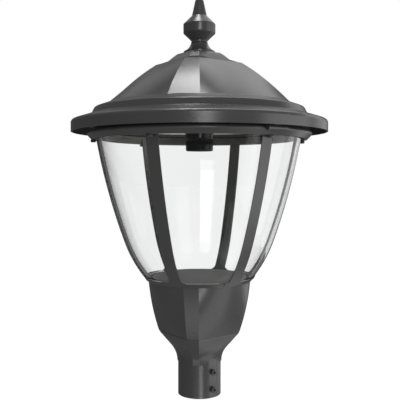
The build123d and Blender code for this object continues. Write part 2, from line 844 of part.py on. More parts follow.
# Hinge leaf: middle knuckle, arm and flange under the roof
flange_bottom = leaf_block_bottom - leaf_plate
with BuildPart() as hinge_leaf:
    with BuildSketch(front_plane):
        with Locations((pin_circle, pin_height)):
            Circle(knuckle_radius)
            Rectangle(leaf_plate, flange_bottom + cut_past - pin_height, align=(Align.CENTER, Align.MIN))
    extrude(amount=leaf_knuckle_width / 2, both=True)
    with BuildSketch(Plane.XY.offset(flange_bottom)):
        with Locations((0, -pin_circle)):
            RectangleRounded(leaf_flange_width, leaf_flange_depth, leaf_flange_round)
    extrude(amount=leaf_plate)
    with BuildSketch(front_plane):
        with Locations((pin_circle, pin_height)):
            Circle(pin_radius + pin_gap)
    extrude(amount=leaf_knuckle_width, both=True, mode=Mode.SUBTRACT)
    with BuildSketch(Plane.XY.offset(flange_bottom)):
        with Locations((0, -pin_circle)):
            with GridLocations(leaf_screw_spacing, 0, 2, 1):
                Circle(fine_screw_radius + thread_gap)
    extrude(amount=leaf_plate, mode=Mode.SUBTRACT)
save(hinge_leaf, "hinge_leaf")

# Screws that hold the leaf to the roof
with BuildPart() as leaf_screws:
    with Locations((0, -pin_circle)):
        with GridLocations(leaf_screw_spacing, 0, 2, 1):
            add(fine_screw(flange_bottom, leaf_plate + fine_screw_depth))
save(leaf_screws, "leaf_screws")

# Captive screw that latches the roof down at the back
latch_head_top = latch_lug_bottom - seat_gap
with BuildPart() as latch_screw:
    with BuildSketch(Plane.XY.offset(latch_head_top)):
        with Locations((0, latch_circle)):
            Circle(latch_head_radius)
    extrude(amount=-latch_head_length)
    with BuildSketch(Plane.XY.offset(latch_head_top)):
        with Locations((0, latch_circle)):
            Circle(latch_screw_radius)
    extrude(amount=latch_shank_length)
    end_edges = latch_screw.edges().group_by(Axis.Z)
    chamfer(end_edges[0] + end_edges[-1], latch_edge_chamfer)
    with BuildSketch(Plane.XY.offset(latch_head_top - latch_head_length)):
        with Locations((0, latch_circle)):
            RegularPolygon(latch_head_radius * head_hex_share, 6)
    extrude(amount=latch_head_length * head_hex_depth_share, mode=Mode.SUBTRACT)
save(latch_screw, "latch_screw")

# Hammered reflector pan that hangs from the roof, rim downwards
with BuildPart() as reflector:
    with BuildSketch(Plane.XZ):
        with BuildLine():
            Polyline(
                (reflector_rim_radius, reflector_rim),
                (reflector_flat_radius, reflector_flat),
                (holder_top_radius + holder_hole_gap, reflector_flat),
                (holder_top_radius + holder_hole_gap, reflector_back),
                (reflector_flat_radius + reflector_sheet / 2, reflector_back),
                (reflector_rim_radius + reflector_sheet, reflector_rim),
                close=True,
            )
        make_face()
    revolve(axis=Axis.Z)
    with BuildSketch(Plane.XY.offset(reflector_flat)):
        with PolarLocations(reflector_boss_circle, corner_count, first_corner):
            Circle(small_screw_radius + screw_hole_gap)
    extrude(amount=reflector_sheet, mode=Mode.SUBTRACT)
save(reflector, "reflector")

# Screws under the reflector
with BuildPart() as reflector_screws:
    with PolarLocations(reflector_boss_circle, corner_count, first_corner):
        add(small_screw(reflector_flat, small_screw_length))
save(reflector_screws, "reflector_screws")

# Strap that carries the lamp holder from two posts in the roof
with BuildPart() as holder_bracket:
    with BuildSketch(Plane.XY.offset(holder_top)):
        RectangleRounded(strap_post_spacing + 2 * strap_post_radius, strap_width, strap_round)
        with GridLocations(strap_post_spacing, 0, 2, 1):
            Circle(small_screw_radius + screw_hole_gap, mode=Mode.SUBTRACT)
        with GridLocations(holder_screw_spacing, 0, 2, 1):
            Circle(small_screw_radius + screw_hole_gap, mode=Mode.SUBTRACT)
        Circle(contact_radius, mode=Mode.SUBTRACT)
    extrude(amount=strap_thickness)
save(holder_bracket, "holder_bracket")

# Screws up through the strap into the posts
with BuildPart() as bracket_screws:
    with GridLocations(strap_post_spacing, 0, 2, 1):
        add(small_screw(holder_top, small_screw_length))
save(bracket_screws, "bracket_screws")

# Lamp holder body with its socket
with BuildPart() as lamp_holder:
    with BuildSketch(Plane.XZ):
        with BuildLine():
            Polyline(
                (0, holder_mouth),
                (holder_mouth_radius, holder_mouth),
                (holder_top_radius, holder_top),
                (0, holder_top),
                close=True,
            )
        make_face()
    revolve(axis=Axis.Z)
    fillet(lamp_holder.edges().filter_by(GeomType.CIRCLE).group_by(Axis.Z)[0], holder_edge_round)
    with BuildSketch(Plane.XY.offset(holder_mouth)):
        Circle(socket_radius)
    extrude(amount=socket_depth, mode=Mode.SUBTRACT)
    with BuildSketch(Plane.XY.offset(holder_top)):
        with GridLocations(holder_screw_spacing, 0, 2, 1):
            Circle(small_screw_radius + thread_gap)
    extrude(amount=-small_screw_length, mode=Mode.SUBTRACT)
save(lamp_holder, "lamp_holder")

# Screws down through the strap into the holder
with BuildPart() as holder_screws:
    with GridLocations(holder_screw_spacing, 0, 2, 1):
        add(small_screw(strap_top, cut_past - small_screw_length))
save(holder_screws, "holder_screws")

# Metal screw shell in the socket
with BuildPart() as screw_shell:
    with BuildSketch(Plane.XY.offset(holder_mouth + socket_depth)):
        Circle(shell_radius)
        Circle(shell_radius - shell_wall, mode=Mode.SUBTRACT)
    extrude(amount=-shell_length)
save(screw_shell, "screw_shell")

# Sprung contact at the socket's end
with BuildPart() as centre_contact:
    with BuildSketch(Plane.XY.offset(holder_mouth + socket_depth)):
        Circle(contact_radius)
    extrude(amount=-contact_height)
    fillet(centre_contact.edges().sort_by(Axis.Z)[0], contact_round)
save(centre_contact, "centre_contact")

# Stepped crown on the flat top of the dome
crown_steps = (
    (dome_top, crown_foot_radius),
    (dome_top + crown_shelf_rise, crown_shelf_radius),
    (dome_top + crown_side_rise, crown_side_radius),
    (crown_top, crown_top_radius),
)
with BuildPart() as crown_cap:
    loft([facet_section(*step, 0, dome_narrow_half_angle) for step in crown_steps], ruled=True)
    with BuildSketch(Plane.XY.offset(dome_top)):
        Circle(stud_radius + screw_hole_gap)
    extrude(amount=crown_rise, mode=Mode.SUBTRACT)
save(crown_cap, "crown_cap")

# Turned collar under the finial
with BuildPart() as finial_collar:
    with BuildSketch(Plane.XZ):
        with BuildLine():
            hollow = ThreePointArc(
                (collar_foot_radius, crown_top + collar_foot_height),
                (collar_waist_radius, crown_top + collar_waist_height),
                (collar_neck_radius, collar_top),
            )
            Polyline(hollow @ 1, (0, collar_top), (0, crown_top), (collar_foot_radius, crown_top), hollow @ 0)
        make_face()
    revolve(axis=Axis.Z)
    with BuildSketch(Plane.XY.offset(crown_top)):
        Circle(stud_radius + screw_hole_gap)
    extrude(amount=collar_height, mode=Mode.SUBTRACT)
save(finial_collar, "finial_collar")

# Finial: acorn belly and tapered spike
with BuildPart() as finial:
    with BuildSketch(Plane.XZ):
        with BuildLine():
            outline = FilletPolyline(
                (collar_neck_radius, collar_top),
                (finial_belly_radius, collar_top + finial_belly_low),
                (finial_belly_radius, collar_top + finial_belly_high),
                (finial_shoulder_radius, collar_top + finial_shoulder_height),
                (finial_tip_radius, finial_top),
                (0, finial_top),
                radius=(finial_belly_round, finial_belly_round, finial_shoulder_round, finial_tip_round),
            )
            Polyline(outline @ 1, (0, collar_top), outline @ 0)
        make_face()
    revolve(axis=Axis.Z)
    with BuildSketch(Plane.XY.offset(collar_top)):
        Circle(stud_radius + thread_gap)
    extrude(amount=stud_reach + cut_past, mode=Mode.SUBTRACT)
save(finial, "finial")

# Stud, washer and nut that pull the finial down on the roof
washer_top = dome_top - roof_drop
nut_top = washer_top - washer_thickness
stud_bottom = nut_top - nut_height - stud_overhang
with BuildPart() as finial_stud:
    with BuildSketch(Plane.XY.offset(stud_bottom)):
        Circle(stud_radius)
    extrude(amount=collar_top + stud_reach - stud_bottom)
    chamfer(finial_stud.edges().filter_by(GeomType.CIRCLE), stud_end_chamfer)
save(finial_stud, "finial_stud")

with BuildPart() as finial_washer:
    with BuildSketch(Plane.XY.offset(washer_top)):
        Circle(washer_radius)
        Circle(stud_radius + screw_hole_gap, mode=Mode.SUBTRACT)
    extrude(amount=-washer_thickness)
save(finial_washer, "finial_washer")

with BuildPart() as finial_nut:
    with BuildSketch(Plane.XY.offset(nut_top)):
        RegularPolygon(nut_across_flats / 2, 6, major_radius=False)
        Circle(stud_radius + thread_gap, mode=Mode.SUBTRACT)
    extrude(amount=-nut_height)
save(finial_nut, "finial_nut")
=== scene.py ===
# %% [markdown]
# # A post-top garden lantern
# The lantern is a cast aluminium lamp head that slips over a post. Its construction comes as a fixed
# frame from CAD, so nothing here moves or resizes a part. This lesson gives every part its finish. It
# rebuilds the parts whose small forms are easier to make in Blender, such as the glass bowl, the hammered
# reflector, the screws and the threads, and it brings the base, the roof and the finial's collar closer to
# the real ones.

import json
import math
from collections import namedtuple

import bmesh
import bpy
from mathutils import Matrix, Vector


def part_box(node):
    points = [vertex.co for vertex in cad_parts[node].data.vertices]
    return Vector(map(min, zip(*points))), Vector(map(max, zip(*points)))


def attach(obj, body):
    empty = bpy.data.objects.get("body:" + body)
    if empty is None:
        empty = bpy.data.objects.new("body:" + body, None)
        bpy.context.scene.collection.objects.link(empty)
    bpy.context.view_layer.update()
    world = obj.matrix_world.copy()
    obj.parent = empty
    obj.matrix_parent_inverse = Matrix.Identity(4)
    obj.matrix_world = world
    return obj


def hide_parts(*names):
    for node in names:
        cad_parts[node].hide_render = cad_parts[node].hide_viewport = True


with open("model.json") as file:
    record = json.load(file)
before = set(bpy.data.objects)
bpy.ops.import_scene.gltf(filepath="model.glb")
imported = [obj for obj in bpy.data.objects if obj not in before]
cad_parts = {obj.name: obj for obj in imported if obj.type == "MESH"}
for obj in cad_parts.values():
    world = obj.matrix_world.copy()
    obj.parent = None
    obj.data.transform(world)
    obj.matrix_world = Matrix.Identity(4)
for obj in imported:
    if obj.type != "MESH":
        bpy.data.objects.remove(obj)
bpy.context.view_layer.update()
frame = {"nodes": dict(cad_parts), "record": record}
nodes = frame["nodes"]

# %% [markdown]
# ## The camera
# The picture was taken level, from a little over the middle of the bowl, and its verticals don't
# converge. A level camera with a small vertical shift does the same, while a tilted one would make the
# post socket lean. The camera stands over the corner between the front and the left side, so one narrow
# facet of the base faces it.

# %% Place the camera
eye_azimuth = math.radians(36.2)
eye_distance = 1.196
eye_height = 0.3817

camera_data = bpy.data.cameras.new("level_camera")
camera_data.sensor_width = 36.0
camera_data.lens = 60.12
camera_data.shift_x = 0.0015
camera_data.shift_y = -0.0525
camera = bpy.data.objects.new("level_camera", camera_data)
camera.location = (-eye_distance * math.sin(eye_azimuth), -eye_distance * math.cos(eye_azimuth), eye_height)
camera.rotation_euler = (math.pi / 2, 0, -eye_azimuth)
bpy.context.scene.collection.objects.link(camera)
bpy.context.scene.camera = camera
bpy.context.scene.view_settings.view_transform = "Standard"
print("camera at", [round(value, 3) for value in camera.location])

# %% [markdown]
# ## The studio
# Satin paint shows what it reflects, so the lights matter as much as the paint. The room itself is a
# soft grey that is only there for reflections, while the camera, also through the glass, sees a white
# room. Two strips near the camera, one low and one high, draw the bright line down the socket and the
# bowl. Four panels light the right side, from the front round to the back and from below, and one low at
# the left gives the narrow facet of the base its own tone. Four high panels shade the dome, one of them
# almost overhead. The floor glows white, as a lit roll of paper does. A spot lamp would be simpler, but
# it would show as a hard dot in the paint.

# %% Helpers that build node trees
def link(tree, source, target):
    tree.links.new(source, target)


def maths(tree, operation, *values):
    """The output of a Math node, whose inputs are sockets or plain numbers."""
    made = tree.nodes.new("ShaderNodeMath")
    made.operation = operation
    for socket, value in zip(made.inputs, values):
        if isinstance(value, (int, float)):
            socket.default_value = value
        else:
            link(tree, value, socket)
    return made.outputs[0]


def mixed(tree, share, first, second):
    """The first shader where the share is 0, and the second where it is 1."""
    made = tree.nodes.new("ShaderNodeMixShader")
    for socket, source in zip(made.inputs, (share, first, second)):
        link(tree, source, socket)
    return made.outputs[0]


def light_path(tree):
    """The Light Path node, and a mask that is 1 for the camera's rays, straight or through glass."""
    path = tree.nodes.new("ShaderNodeLightPath")
    return path, maths(tree, "MAXIMUM", path.outputs["Is Camera Ray"], path.outputs["Is Transmission Ray"])


# %% Make the room
room_front = 0.09
room_below = 0.2
room_above = 0.25
room_ambient = 0.34


def even_room(tree, grey):
    """The same grey on every side."""
    made = tree.nodes.new("ShaderNodeBackground")
    made.inputs["Color"].default_value = (grey, grey, grey, 1)
    return made.outputs[0]


def shaded_room(tree):
    """Dark at eye level, and lighter below and above."""
    place = tree.nodes.new("ShaderNodeTexCoord")
    split = tree.nodes.new("ShaderNodeSeparateXYZ")
    link(tree, place.outputs["Generated"], split.inputs[0])
    height = tree.nodes.new("ShaderNodeMapRange")
    height.inputs["From Min"].default_value = -1.0
    link(tree, split.outputs["Z"], height.inputs["Value"])
    ramp = tree.nodes.new("ShaderNodeValToRGB")
    link(tree, height.outputs["Result"], ramp.inputs["Fac"])
    tones = ramp.color_ramp.elements
    tones.new(0.5)
    for tone, grey in zip(tones, (room_below, room_front, room_above)):
        tone.color = (grey, grey, grey, 1)
    made = tree.nodes.new("ShaderNodeBackground")
    link(tree, ramp.outputs["Color"], made.inputs["Color"])
    return made.outputs[0]


def make_room():
    """White to the camera, an even grey to diffuse light, and the shaded room to reflections."""
    world = bpy.data.worlds.new("studio_room")
    bpy.context.scene.world = world
    world.use_nodes = True
    tree = world.node_tree
    tree.nodes.clear()
    path, sight = light_path(tree)
    unseen = mixed(tree, path.outputs["Is Diffuse Ray"], shaded_room(tree), even_room(tree, room_ambient))
    output = tree.nodes.new("ShaderNodeOutputWorld")
    link(tree, mixed(tree, sight, unseen, even_room(tree, 1.0)), output.inputs["Surface"])


make_room()
print("room: white to the camera, grey to reflections")

# %% Hang the lights
aim_height = 0.36


def add_panel(name, azimuth, distance, height, size, brightness, aim=aim_height):
    """A soft panel at an azimuth round the lantern, counted from the camera to its right, in degrees."""
    turn = math.radians(azimuth) - eye_azimuth
    light = bpy.data.lights.new(name, "AREA")
    light.shape = "RECTANGLE"
    light.size, light.size_y = size
    light.energy = brightness * math.pi * size[0] * size[1]
    panel = bpy.data.objects.new(name, light)
    panel.location = (distance * math.sin(turn), -distance * math.cos(turn), height)
    panel.rotation_euler = (Vector((0, 0, aim)) - panel.location).to_track_quat("-Z", "Y").to_euler()
    panel.visible_camera = False
    panel.visible_transmission = False
    bpy.context.scene.collection.objects.link(panel)


add_panel("low_strip", 8.5, 2.4, -1.25, (0.64, 1.4), 4.3, aim=-1.25)
add_panel("high_strip", 5.0, 2.4, 1.2, (0.5, 1.4), 5.5)
add_panel("right_panel", 78.0, 1.7, 0.25, (1.7, 1.7), 1.25)
add_panel("right_low_panel", 61.0, 1.7, -1.2, (1.4, 0.9), 0.88)
add_panel("left_low_panel", -22.0, 2.2, -1.4, (0.7, 1.1), 1.1)
add_panel("floor_panel", 113.0, 0.9, -1.4, (0.9, 0.9), 0.6)
add_panel("right_back_panel", 127.0, 1.8, 0.5, (1.0, 2.2), 0.78)
add_panel("facet_panel", -145.0, 0.25, 2.3, (0.5, 0.5), 12.5)
add_panel("high_back_panel", 168.0, 0.95, 2.2, (0.7, 0.5), 2.4)
add_panel("high_right_panel", 150.0, 1.4, 1.8, (0.9, 0.9), 1.05)
add_panel("high_left_panel", -151.0, 1.5, 1.7, (0.6, 0.8), 0.3)

# %% Lay the floor
floor_radius = 30.0
floor_grey = 0.05
floor_glow = 0.98


def make_floor():
    mesh = bpy.data.meshes.new("studio_floor")
    shape = bmesh.new()
    bmesh.ops.create_circle(shape, cap_ends=True, segments=96, radius=floor_radius)
    shape.to_mesh(mesh)
    shape.free()
    floor = bpy.data.objects.new("studio_floor", mesh)
    bpy.context.scene.collection.objects.link(floor)
    material = bpy.data.materials.new("studio_floor")
    material.use_nodes = True
    bsdf = material.node_tree.nodes["Principled BSDF"]
    bsdf.inputs["Base Color"].default_value = (floor_grey, floor_grey, floor_grey, 1)
    bsdf.inputs["Roughness"].default_value = 0.9
    bsdf.inputs["Emission Color"].default_value = (1, 1, 1, 1)
    bsdf.inputs["Emission Strength"].default_value = floor_glow
    mesh.materials.append(material)
    floor.visible_glossy = False
    floor.visible_diffuse = False
    floor.visible_shadow = False


make_floor()
print("floor:", 2 * floor_radius, "m across")

# %% [markdown]
# ## Finishes
# Powder coat is a baked resin: satin, with a fine orange peel and a colour that is even, but never quite
# flat. A plain colour would look like plastic. So one node group makes that grain for every coated, moulded
# or plated part. It puts out a colour, a roughness and a height, and each material has its own values and
# its own Principled BSDF.


# %% Shared group: surface grain
def new_group(name, inputs, outputs):
    """A shader node group whose inputs are (name, type, value) and whose outputs are (name, type)."""
    group = bpy.data.node_groups.new(name, "ShaderNodeTree")
    for label, kind, value in inputs:
        socket = group.interface.new_socket(name=label, in_out="INPUT", socket_type=kind)
        socket.default_value = value
    for label, kind in outputs:
        group.interface.new_socket(name=label, in_out="OUTPUT", socket_type=kind)
    return group, group.nodes.new("NodeGroupInput"), group.nodes.new("NodeGroupOutput")


def make_grain():
    group, given, result = new_group(
        "surface_grain",
        [
            ("Colour", "NodeSocketColor", (0.5, 0.5, 0.5, 1)),
            ("Roughness", "NodeSocketFloat", 0.4),
            ("Grain Size", "NodeSocketFloat", 900.0),
            ("Cloud Size", "NodeSocketFloat", 9.0),
            ("Cloud Depth", "NodeSocketFloat", 0.15),
        ],
        [("Colour", "NodeSocketColor"), ("Roughness", "NodeSocketFloat"), ("Height", "NodeSocketFloat")],
    )
    place = group.nodes.new("ShaderNodeTexCoord")

    def noise(size, detail):
        made = group.nodes.new("ShaderNodeTexNoise")
        made.inputs["Detail"].default_value = detail
        link(group, place.outputs["Object"], made.inputs["Vector"])
        link(group, given.outputs[size], made.inputs["Scale"])
        return made.outputs["Fac"]

    cloud = maths(group, "SUBTRACT", noise("Cloud Size", 4.0), 0.5)
    depth = maths(group, "MULTIPLY_ADD", cloud, given.outputs["Cloud Depth"], 1.0)
    tinted = group.nodes.new("ShaderNodeVectorMath")
    tinted.operation = "SCALE"
    link(group, given.outputs["Colour"], tinted.inputs[0])
    link(group, depth, tinted.inputs["Scale"])
    link(group, tinted.outputs[0], result.inputs["Colour"])
    link(group, maths(group, "MULTIPLY", given.outputs["Roughness"], depth), result.inputs["Roughness"])
    link(group, noise("Grain Size", 2.0), result.inputs["Height"])
    return group


grain_group = make_grain()
print("group:", grain_group.name, len(grain_group.nodes), "nodes")


# %% Helper: add a finish
grain_height = 0.0004
finishes = {}


def add_finish(name, colour, roughness, grain=900.0, bump=0.08, metallic=0.0, ior=1.5, specular=0.5):
    """A finish with the shared grain, whose constants go straight to sockets of its Principled BSDF."""
    material = bpy.data.materials.new(name)
    material.use_nodes = True
    tree = material.node_tree
    bsdf = tree.nodes["Principled BSDF"]
    bsdf.inputs["Metallic"].default_value = metallic
    bsdf.inputs["IOR"].default_value = ior
    bsdf.inputs["Specular IOR Level"].default_value = specular
    group = tree.nodes.new("ShaderNodeGroup")
    group.node_tree = grain_group
    group.inputs["Colour"].default_value = (*colour, 1)
    group.inputs["Roughness"].default_value = roughness
    group.inputs["Grain Size"].default_value = grain
    raised = tree.nodes.new("ShaderNodeBump")
    raised.inputs["Strength"].default_value = bump
    raised.inputs["Distance"].default_value = grain_height
    link(tree, group.outputs["Height"], raised.inputs["Height"])
    link(tree, group.outputs["Colour"], bsdf.inputs["Base Color"])
    link(tree, group.outputs["Roughness"], bsdf.inputs["Roughness"])
    link(tree, raised.outputs["Normal"], bsdf.inputs["Normal"])
    finishes[name] = material


# %% Add the finishes
add_finish("dark_grey_paint", (0.06, 0.06, 0.06), 0.28, bump=0.02, ior=1.6)
add_finish("dark_screws", (0.07, 0.07, 0.071), 0.34, metallic=0.25)
add_finish("zinc_screws", (0.55, 0.56, 0.58), 0.3, metallic=1.0)
add_finish("zinc_plate", (0.5, 0.51, 0.53), 0.38, metallic=1.0)
add_finish("black_plastic", (0.02, 0.02, 0.02), 0.55)
add_finish("gear_case", (0.6, 0.61, 0.63), 0.4, metallic=1.0)
add_finish("terminal_plastic", (0.66, 0.64, 0.57), 0.5)
add_finish("cover_sheet", (0.28, 0.28, 0.28), 0.38)
add_finish("seal_rubber", (0.018, 0.018, 0.018), 0.7, grain=400.0)
add_finish("hammered_aluminium", (0.95, 0.93, 0.86), 0.25, metallic=0.6)
add_finish("holder_black", (0.006, 0.006, 0.006), 0.15, bump=0.0, specular=0.25)
add_finish("contact_brass", (0.62, 0.47, 0.22), 0.3, metallic=1.0)
print("finishes:", len(finishes))

# %% [markdown]
# ## Clear glass
# The bowl is clear, with a hint of green. A Principled BSDF with full transmission bends what the camera
# sees through it, but it would also keep the panels' light from the parts inside. So only the camera's rays
# meet the glass, and every other ray passes a Transparent BSDF. A low IOR keeps the reflections weak.

# %% Add the glass
glass_ior = 1.33
glass_tint = (0.955, 0.96, 0.958, 1)
passed_light = (0.95, 0.955, 0.953, 1)


def make_glass():
    material = bpy.data.materials.new("clear_glass")
    material.use_nodes = True
    tree = material.node_tree
    bsdf = tree.nodes["Principled BSDF"]
    bsdf.inputs["Base Color"].default_value = glass_tint
    bsdf.inputs["Roughness"].default_value = 0.0
    bsdf.inputs["IOR"].default_value = glass_ior
    bsdf.inputs["Transmission Weight"].default_value = 1.0
    clear = tree.nodes.new("ShaderNodeBsdfTransparent")
    clear.inputs["Color"].default_value = passed_light
    sight = light_path(tree)[1]
    glass = mixed(tree, sight, clear.outputs[0], bsdf.outputs[0])
    link(tree, glass, tree.nodes["Material Output"].inputs["Surface"])
    return material


finishes["clear_glass"] = make_glass()
print("glass:", glass_ior, "IOR")


# %% Give each part its finish
def dress(piece, material):
    piece.data.materials.clear()
    piece.data.materials.append(material)


slot_of = {subpart["node"]: subpart["material_slot"] for subpart in frame["record"]["subparts"]}
for node, slot in slot_of.items():
    dress(nodes[node], finishes[slot])
print("dressed:", len(slot_of), "parts")

# %% [markdown]
# ## Turned and blown parts
# The bowl, the lamp holder and its screw shell are round, so each is one profile turned about the post
# axis. A Screw modifier could do it, but a small helper in mesh code also lets the rim of a hole be a
# hexagon. Every profile is a closed loop, so every part is a closed solid.

# %% Helpers: turn a profile and keep the piece
MM = 0.001


def heights(node):
    """The lowest and the highest level of a CAD node."""
    low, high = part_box(node)
    return low[2], high[2]


def arc_points(centre, radius, start, end, steps):
    """Points on an arc in a profile, from one angle to another in degrees, counted from outwards to up."""
    turns = [math.radians(start + (end - start) * step / steps) for step in range(steps + 1)]
    return [(centre[0] + radius * math.cos(turn), centre[1] + radius * math.sin(turn)) for turn in turns]


def finish_mesh(name, shape, sharp_angle):
    """A mesh object from a bmesh: doubles merged, faces outwards, smooth up to a sharp angle in degrees."""
    bmesh.ops.remove_doubles(shape, verts=shape.verts, dist=1e-6)
    loose = [edge for edge in shape.edges if not edge.link_faces]
    bmesh.ops.delete(shape, geom=loose, context="EDGES")
    bmesh.ops.recalc_face_normals(shape, faces=shape.faces)
    mesh = bpy.data.meshes.new(name)
    shape.to_mesh(mesh)
    shape.free()
    mesh.polygons.foreach_set("use_smooth", [True] * len(mesh.polygons))
    mesh.set_sharp_from_angle(angle=math.radians(sharp_angle))
    piece = bpy.data.objects.new(name, mesh)
    bpy.context.scene.collection.objects.link(piece)
    return piece


def turned(name, profile, segments, sharp_angle):
    """A solid turned about Z from a closed loop of (radius, height). A radius may depend on the angle."""
    shape = bmesh.new()
    rings = []
    for step in range(segments):
        angle = 2 * math.pi * step / segments
        ring = []
        for radius, height in profile:
            reach = radius(angle) if callable(radius) else radius
            ring.append(shape.verts.new((reach * math.cos(angle), reach * math.sin(angle), height)))
        rings.append(ring)
    for here, there in zip(rings, rings[1:] + rings[:1]):
        for index in range(len(profile)):
            after = (index + 1) % len(profile)
            shape.faces.new((here[index], there[index], there[after], here[after]))
    return finish_mesh(name, shape, sharp_angle)


def keep(piece, body, node):
    """The piece stands for a CAD node, rides on its body and takes its finish."""
    slot = slot_of[node]
    dress(piece, finishes[slot])
    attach(piece, body)
    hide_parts(node)
    print(piece.name, len(piece.data.polygons), "faces")


# %% [markdown]
# ## The glass bowl
# The bowl is blown into a mould: its outline is a tight arc below the elbow and a nearly straight one
# above it, and both rims are fire polished, so they are round. The frame has the same outline, but its
# facets would break up the reflections. Turned again with many small steps and smooth shading, the glass
# reflects in clean lines.

# %% Blow the bowl
elbow_radius = 132.8 * MM
elbow_height = 270.0 * MM
elbow_lean = math.radians(20.3)
lower_arc_radius = 225.0 * MM
upper_arc_radius = 1080.0 * MM
glass_inset = 2.7 * MM
glass_wall = 4.0 * MM
flank_steps = 36
rim_steps = 8
bowl_segments = 192


def flank_point(share, arc_radius, low, high, inset):
    """A point of the outline at a share of the way between two heights, moved inwards by inset."""
    height = low + share * (high - low)
    centre_radius = elbow_radius - arc_radius * math.cos(elbow_lean)
    centre_height = elbow_height + arc_radius * math.sin(elbow_lean)
    return (centre_radius + math.sqrt((arc_radius - inset) ** 2 - (centre_height - height) ** 2), height)


def flank(inset, low, high):
    """The outline of one side of the glass, up from the foot, moved inwards by inset."""
    turn = elbow_height + inset * math.sin(elbow_lean)
    shares = [step / flank_steps for step in range(flank_steps + 1)]
    below = [flank_point(share, lower_arc_radius, low, turn, inset) for share in shares[:-1]]
    return below + [flank_point(share, upper_arc_radius, turn, high, inset) for share in shares]


def rim(start, end, rise):
    """The points of a half round between two sides of the glass. It goes down if its rise is negative."""
    middle = (start[0] + end[0]) / 2
    half = (start[0] - end[0]) / 2
    turns = [math.pi * step / rim_steps for step in range(1, rim_steps)]
    return [(middle + half * math.cos(turn), start[1] + rise * math.sin(turn)) for turn in turns]


def make_bowl():
    low, high = heights("glass_bowl")
    rise = glass_wall / 2
    outer = flank(glass_inset, low + rise, high - rise)
    inner = flank(glass_inset + glass_wall, low + rise, high - rise)
    profile = outer + rim(outer[-1], inner[-1], rise) + inner[::-1] + rim(inner[0], outer[0], -rise)
    return turned("blown_bowl", profile, bowl_segments, sharp_angle=80.0)


keep(make_bowl(), "lantern_body", "glass_bowl")

# %% [markdown]
# ## The lamp holder
# The holder is a moulded body with a plain rounded mouth and a shallow groove round it. Its metal shell is
# pressed with a round thread of 3.6 mm a turn. The groove goes straight into the holder's profile. The
# thread could be a Screw modifier on a wave, but then its ends would stand open. So the shell is rings of
# points, whose wall moves in and out by a cosine that climbs one pitch for each turn.

# %% Mould the lamp holder
holder_mouth_radius = 24.2 * MM
holder_top_radius = 26.0 * MM
holder_socket_radius = 14.2 * MM
holder_socket_depth = 42.0 * MM
holder_round = 2.2 * MM
round_steps = 6
groove_foot = 20.5 * MM
groove_width = 2.4 * MM
groove_depth = 0.6 * MM
groove_steps = 9


def make_holder():
    mouth, top = heights("lamp_holder")
    floor = mouth + holder_socket_depth
    edge = mouth + holder_round
    slope = (holder_top_radius - holder_mouth_radius) / (top - mouth)
    profile = [(0.0, floor), (holder_socket_radius, floor), (holder_socket_radius, edge)]
    inner_centre = (holder_socket_radius + holder_round, edge)
    profile += arc_points(inner_centre, holder_round, 180, 270, round_steps)
    outer_centre = (holder_mouth_radius - holder_round, edge)
    profile += arc_points(outer_centre, holder_round, 270, 360, round_steps)
    for step in range(groove_steps):
        share = step / groove_steps
        rise = groove_foot + groove_width * share
        groove = groove_depth * (0.5 - 0.5 * math.cos(2 * math.pi * share))
        profile.append((holder_mouth_radius + slope * rise - groove, mouth + rise))
    profile += [(holder_top_radius - holder_round * slope, top - holder_round)]
    top_centre = (holder_top_radius - holder_round, top - holder_round)
    profile += arc_points(top_centre, holder_round, 0, 90, round_steps)
    profile += [(0.0, top)]
    return turned("moulded_holder", profile, segments=96, sharp_angle=50.0)


keep(make_holder(), "roof_assembly", "lamp_holder")

# %% Press the screw shell
shell_radius = 13.9 * MM
shell_wall = 0.6 * MM
shell_pitch = 3.6 * MM
shell_thread_depth = 0.75 * MM
shell_segments = 48
shell_rows = 80
shell_run_out = 0.25


def make_shell():
    """A tube whose two sides follow the same thread, which runs out towards both ends."""
    low, high = heights("screw_shell")
    shape = bmesh.new()

    def ring(radius, share):
        rise = (high - low) * share
        depth = shell_thread_depth * min(1.0, share / shell_run_out, (1 - share) / shell_run_out)
        made = []
        for step in range(shell_segments):
            angle = 2 * math.pi * step / shell_segments
            reach = radius - depth * (0.5 - 0.5 * math.cos(2 * math.pi * rise / shell_pitch - angle))
            made.append(shape.verts.new((reach * math.cos(angle), reach * math.sin(angle), low + rise)))
        return made

    shares = [row / shell_rows for row in range(shell_rows + 1)]
    rings = [ring(shell_radius, share) for share in shares]
    rings += [ring(shell_radius - shell_wall, share) for share in shares[::-1]]
    for here, there in zip(rings, rings[1:] + rings[:1]):
        for step in range(shell_segments):
            after = (step + 1) % shell_segments
            shape.faces.new((here[step], here[after], there[after], there[step]))
    return finish_mesh("pressed_shell", shape, sharp_angle=60.0)


keep(make_shell(), "roof_assembly", "screw_shell")

# %% [markdown]
# ## Cap screws
# Eight groups of screws hold the lantern together, and each group is the same screw repeated round a
# circle: a pair is a circle of two. So one screw of each size is turned, with a hexagon for its socket,
# and one Geometry Nodes tree repeats it. The tree's inputs are the count, the circle, the first angle and
# the finish. An Array modifier could do it too, but it needs an empty object for each circle.

# %% Geometry Nodes: repeat round a circle

def new_geometry_tree(name, inputs):
    """A Geometry Nodes tree whose named inputs are (name, type, value)."""
    tree = bpy.data.node_groups.new(name, "GeometryNodeTree")
    tree.is_modifier = True
    tree.interface.new_socket(name="Geometry", in_out="INPUT", socket_type="NodeSocketGeometry")
    for label, kind, value in inputs:
        socket = tree.interface.new_socket(name=label, in_out="INPUT", socket_type=kind)
        if value is not None:
            socket.default_value = value
    tree.interface.new_socket(name="Geometry", in_out="OUTPUT", socket_type="NodeSocketGeometry")
    return tree, tree.nodes.new("NodeGroupInput"), tree.nodes.new("NodeGroupOutput")


